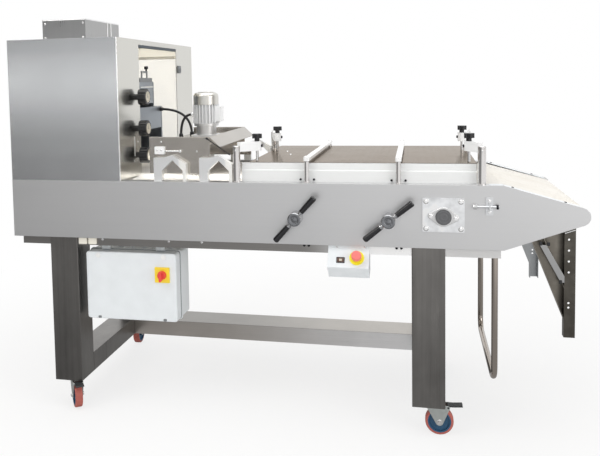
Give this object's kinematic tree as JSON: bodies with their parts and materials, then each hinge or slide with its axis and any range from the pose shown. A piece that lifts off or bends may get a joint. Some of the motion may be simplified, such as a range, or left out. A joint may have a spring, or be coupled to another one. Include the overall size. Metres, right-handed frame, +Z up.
{
  "type": "dough moulder",
  "caption": "Floor-standing bread dough moulder: a sheeting head with gap-adjustable rollers feeds a belt bed with a height-adjustable pressure board, on a box-leg stand with castors.",
  "frame": {"origin": "on the floor, at the middle of the object's box", "axes": "+X along the bed from the sheeting head to the outfeed nose, +Y from the operator's side to the back, +Z up"},
  "size_m": [2.34, 1.102, 1.716],
  "materials": {
    "satin_steel": "satin grain",
    "bright_steel": "polished",
    "zinc_steel": "zinc plated",
    "dark_steel": "satin",
    "white_plastic": "machined sheet",
    "black_plastic": "moulded",
    "wheel_tread": "matt",
    "belt_cloth": "woven",
    "motor_paint": "satin",
    "cover_paint": "satin",
    "cable_sheath": "matt",
    "box_grey": "fine texture",
    "red_plastic": "moulded"
  },
  "bodies": {
    "bed": {"side_panel_front": "satin_steel", "side_panel_rear": "satin_steel", "conveyor_belt": "belt_cloth", "slider_bed": "satin_steel", "drum_bearing_plates": "zinc_steel", "belt_tensioners": "zinc_steel", "head_cabinet": "satin_steel", "hopper": "satin_steel", "roller_side_plates": "dark_steel", "roller_guards": "satin_steel", "hood": "satin_steel", "arch_brackets": "bright_steel", "curling_net": "satin_steel", "gearbox": "motor_paint", "motor_housing": "motor_paint", "motor_fan_cover": "cover_paint", "head_cables": "cable_sheath", "board_posts": "bright_steel", "cross_bars": "bright_steel", "side_guides": "white_plastic", "screw_clamps": "white_plastic", "stand": "satin_steel", "bed_rails": "satin_steel", "electrical_box": "box_grey", "electrical_box_lid": "box_grey", "control_box": "box_grey", "outfeed_brackets": "dark_steel"},
    "drive_drum": {"drive_drum": "zinc_steel"},
    "nose_roller": {"nose_roller": "zinc_steel"},
    "tail_roller": {"tail_roller": "zinc_steel"},
    "tension_roller": {"tension_roller": "zinc_steel"},
    "upper_fixed_roller": {"upper_fixed_roller": "white_plastic"},
    "lower_fixed_roller": {"lower_fixed_roller": "white_plastic"},
    "upper_bearing_blocks": {"upper_bearing_blocks": "bright_steel"},
    "lower_bearing_blocks": {"lower_bearing_blocks": "bright_steel"},
    "upper_moving_roller": {"upper_moving_roller": "white_plastic"},
    "lower_moving_roller": {"lower_moving_roller": "white_plastic"},
    "upper_handwheel": {"upper_handwheel": "black_plastic"},
    "lower_handwheel": {"lower_handwheel": "black_plastic"},
    "third_handwheel": {"third_handwheel": "black_plastic"},
    "pressure_board": {"pressure_board": "satin_steel"},
    "height_knob_front_left": {"height_knob_front_left": "black_plastic"},
    "height_knob_rear_left": {"height_knob_rear_left": "black_plastic"},
    "height_knob_front_right": {"height_knob_front_right": "black_plastic"},
    "height_knob_rear_right": {"height_knob_rear_right": "black_plastic"},
    "cam_lever_left": {"cam_lever_left": "black_plastic"},
    "cam_lever_right": {"cam_lever_right": "black_plastic"},
    "castor_fork_front_left": {"castor_fork_front_left": "zinc_steel"},
    "castor_wheel_front_left": {"castor_wheel_front_left": "wheel_tread"},
    "brake_pedal_front_left": {"brake_pedal_front_left": "black_plastic"},
    "castor_fork_front_right": {"castor_fork_front_right": "zinc_steel"},
    "castor_wheel_front_right": {"castor_wheel_front_right": "wheel_tread"},
    "brake_pedal_front_right": {"brake_pedal_front_right": "black_plastic"},
    "castor_fork_rear_left": {"castor_fork_rear_left": "zinc_steel"},
    "castor_wheel_rear_left": {"castor_wheel_rear_left": "wheel_tread"},
    "castor_fork_rear_right": {"castor_fork_rear_right": "zinc_steel"},
    "castor_wheel_rear_right": {"castor_wheel_rear_right": "wheel_tread"},
    "main_switch_knob": {"main_switch_knob": "red_plastic"},
    "start_rocker": {"start_rocker": "black_plastic"},
    "stop_button": {"stop_button": "red_plastic"}
  },
  "joints": [
    {"name": "drum_spin", "type": "hinge", "parent": "bed", "child": "drive_drum", "pos_m": [0.646, -0.049, 0.89], "axis": [0, 1, 0], "continuous": true},
    {"name": "nose_spin", "type": "hinge", "parent": "bed", "child": "nose_roller", "pos_m": [1.136, -0.049, 0.899], "axis": [0, 1, 0], "continuous": true},
    {"name": "tail_spin", "type": "hinge", "parent": "bed", "child": "tail_roller", "pos_m": [-1.08, -0.049, 0.9627], "axis": [0, 1, 0], "continuous": true},
    {"name": "tension_spin", "type": "hinge", "parent": "bed", "child": "tension_roller", "pos_m": [0.775, -0.049, 0.912], "axis": [0, 1, 0], "continuous": true},
    {"name": "upper_fixed_spin", "type": "hinge", "parent": "bed", "child": "upper_fixed_roller", "pos_m": [-1.05, -0.064, 1.359], "axis": [0, 1, 0], "continuous": true},
    {"name": "lower_fixed_spin", "type": "hinge", "parent": "bed", "child": "lower_fixed_roller", "pos_m": [-0.898, -0.064, 1.22], "axis": [0, 1, 0], "continuous": true},
    {"name": "upper_gap", "type": "slide", "parent": "bed", "child": "upper_bearing_blocks", "axis": [1, 0, 0], "range_m": [-0.004, 0.014]},
    {"name": "lower_gap", "type": "slide", "parent": "bed", "child": "lower_bearing_blocks", "axis": [1, 0, 0], "range_m": [-0.004, 0.014]},
    {"name": "upper_moving_spin", "type": "hinge", "parent": "upper_bearing_blocks", "child": "upper_moving_roller", "pos_m": [-0.934, -0.064, 1.359], "axis": [0, 1, 0], "continuous": true},
    {"name": "lower_moving_spin", "type": "hinge", "parent": "lower_bearing_blocks", "child": "lower_moving_roller", "pos_m": [-0.782, -0.064, 1.22], "axis": [0, 1, 0], "continuous": true},
    {"name": "upper_wheel_turn", "type": "hinge", "parent": "bed", "child": "upper_handwheel", "pos_m": [-0.621, -0.291, 1.359], "axis": [1, 0, 0], "range_deg": [-146, 506]},
    {"name": "lower_wheel_turn", "type": "hinge", "parent": "bed", "child": "lower_handwheel", "pos_m": [-0.621, -0.291, 1.22], "axis": [1, 0, 0], "range_deg": [-146, 506]},
    {"name": "third_wheel_turn", "type": "hinge", "parent": "bed", "child": "third_handwheel", "pos_m": [-0.621, -0.291, 1.102], "axis": [1, 0, 0], "range_deg": [-180, 180]},
    {"name": "board_height", "type": "slide", "parent": "bed", "child": "pressure_board", "axis": [0, 0, 1], "range_m": [-0.01, 0.003]},
    {"name": "knob_turn_front_left", "type": "hinge", "parent": "bed", "child": "height_knob_front_left", "pos_m": [-0.098, -0.389, 1.18], "axis": [0, 0, 1], "range_deg": [-722, 218]},
    {"name": "knob_turn_rear_left", "type": "hinge", "parent": "bed", "child": "height_knob_rear_left", "pos_m": [-0.098, 0.071, 1.18], "axis": [0, 0, 1], "range_deg": [-722, 218]},
    {"name": "knob_turn_front_right", "type": "hinge", "parent": "bed", "child": "height_knob_front_right", "pos_m": [0.746, -0.389, 1.18], "axis": [0, 0, 1], "range_deg": [-722, 218]},
    {"name": "knob_turn_rear_right", "type": "hinge", "parent": "bed", "child": "height_knob_rear_right", "pos_m": [0.746, 0.071, 1.18], "axis": [0, 0, 1], "range_deg": [-722, 218]},
    {"name": "lever_left_turn", "type": "hinge", "parent": "bed", "child": "cam_lever_left", "pos_m": [0.079, -0.489, 0.875], "axis": [0, -1, 0], "range_deg": [-45, 45]},
    {"name": "lever_right_turn", "type": "hinge", "parent": "bed", "child": "cam_lever_right", "pos_m": [0.441, -0.489, 0.875], "axis": [0, -1, 0], "range_deg": [-45, 45]},
    {"name": "castor_swivel_front_left", "type": "hinge", "parent": "bed", "child": "castor_fork_front_left", "pos_m": [-0.9425, -0.4145, 0.12], "axis": [0, 0, 1], "continuous": true},
    {"name": "castor_roll_front_left", "type": "hinge", "parent": "castor_fork_front_left", "child": "castor_wheel_front_left", "pos_m": [-0.91841, -0.4489, 0.055], "axis": [0.8192, 0.5736, 0], "continuous": true},
    {"name": "brake_press_front_left", "type": "hinge", "parent": "castor_fork_front_left", "child": "brake_pedal_front_left", "pos_m": [-0.89891, -0.47676, 0.1146], "axis": [0.8192, 0.5736, 0], "range_deg": [0, 12]},
    {"name": "castor_swivel_front_right", "type": "hinge", "parent": "bed", "child": "castor_fork_front_right", "pos_m": [0.5905, -0.4145, 0.12], "axis": [0, 0, 1], "continuous": true},
    {"name": "castor_roll_front_right", "type": "hinge", "parent": "castor_fork_front_right", "child": "castor_wheel_front_right", "pos_m": [0.6325, -0.4145, 0.055], "axis": [0, 1, 0], "continuous": true},
    {"name": "brake_press_front_right", "type": "hinge", "parent": "castor_fork_front_right", "child": "brake_pedal_front_right", "pos_m": [0.6665, -0.4145, 0.1146], "axis": [0, 1, 0], "range_deg": [0, 12]},
    {"name": "castor_swivel_rear_left", "type": "hinge", "parent": "bed", "child": "castor_fork_rear_left", "pos_m": [-0.9425, 0.3165, 0.12], "axis": [0, 0, 1], "continuous": true},
    {"name": "castor_roll_rear_left", "type": "hinge", "parent": "castor_fork_rear_left", "child": "castor_wheel_rear_left", "pos_m": [-0.9447, 0.35844, 0.055], "axis": [-0.9986, -0.0523, 0], "continuous": true},
    {"name": "castor_swivel_rear_right", "type": "hinge", "parent": "bed", "child": "castor_fork_rear_right", "pos_m": [0.5905, 0.3165, 0.12], "axis": [0, 0, 1], "continuous": true},
    {"name": "castor_roll_rear_right", "type": "hinge", "parent": "castor_fork_rear_right", "child": "castor_wheel_rear_right", "pos_m": [0.62887, 0.33358, 0.055], "axis": [-0.4067, 0.9135, 0], "continuous": true},
    {"name": "main_switch_turn", "type": "hinge", "parent": "bed", "child": "main_switch_knob", "pos_m": [-0.503, -0.459, 0.609], "axis": [0, -1, 0], "range_deg": [-90, 0]},
    {"name": "rocker_tilt", "type": "hinge", "parent": "bed", "child": "start_rocker", "pos_m": [0.2545, -0.50447, 0.71076], "axis": [0, 0.5377, 0.8432], "range_deg": [-8, 8]},
    {"name": "stop_press", "type": "slide", "parent": "bed", "child": "stop_button", "axis": [0, 0.8432, -0.5377], "range_m": [0, 0.006], "stiffness_N_per_m": 300, "springref_m": -0.003}
  ],
  "couplings": [
    {"joint": "nose_spin", "follows": "drum_spin", "ratio": 2.0714},
    {"joint": "tail_spin", "follows": "drum_spin", "ratio": 1.5263},
    {"joint": "tension_spin", "follows": "drum_spin", "ratio": -2.4167},
    {"joint": "upper_moving_spin", "follows": "upper_fixed_spin", "ratio": -1},
    {"joint": "lower_fixed_spin", "follows": "upper_fixed_spin", "ratio": 1},
    {"joint": "lower_moving_spin", "follows": "upper_fixed_spin", "ratio": -1},
    {"joint": "upper_wheel_turn", "follows": "upper_gap", "rad_per_m": 628.32},
    {"joint": "lower_wheel_turn", "follows": "lower_gap", "rad_per_m": 628.32},
    {"joint": "knob_turn_front_left", "follows": "board_height", "rad_per_m": 1256.6},
    {"joint": "knob_turn_rear_left", "follows": "board_height", "rad_per_m": 1256.6},
    {"joint": "knob_turn_front_right", "follows": "board_height", "rad_per_m": 1256.6},
    {"joint": "knob_turn_rear_right", "follows": "board_height", "rad_per_m": 1256.6}
  ]
}
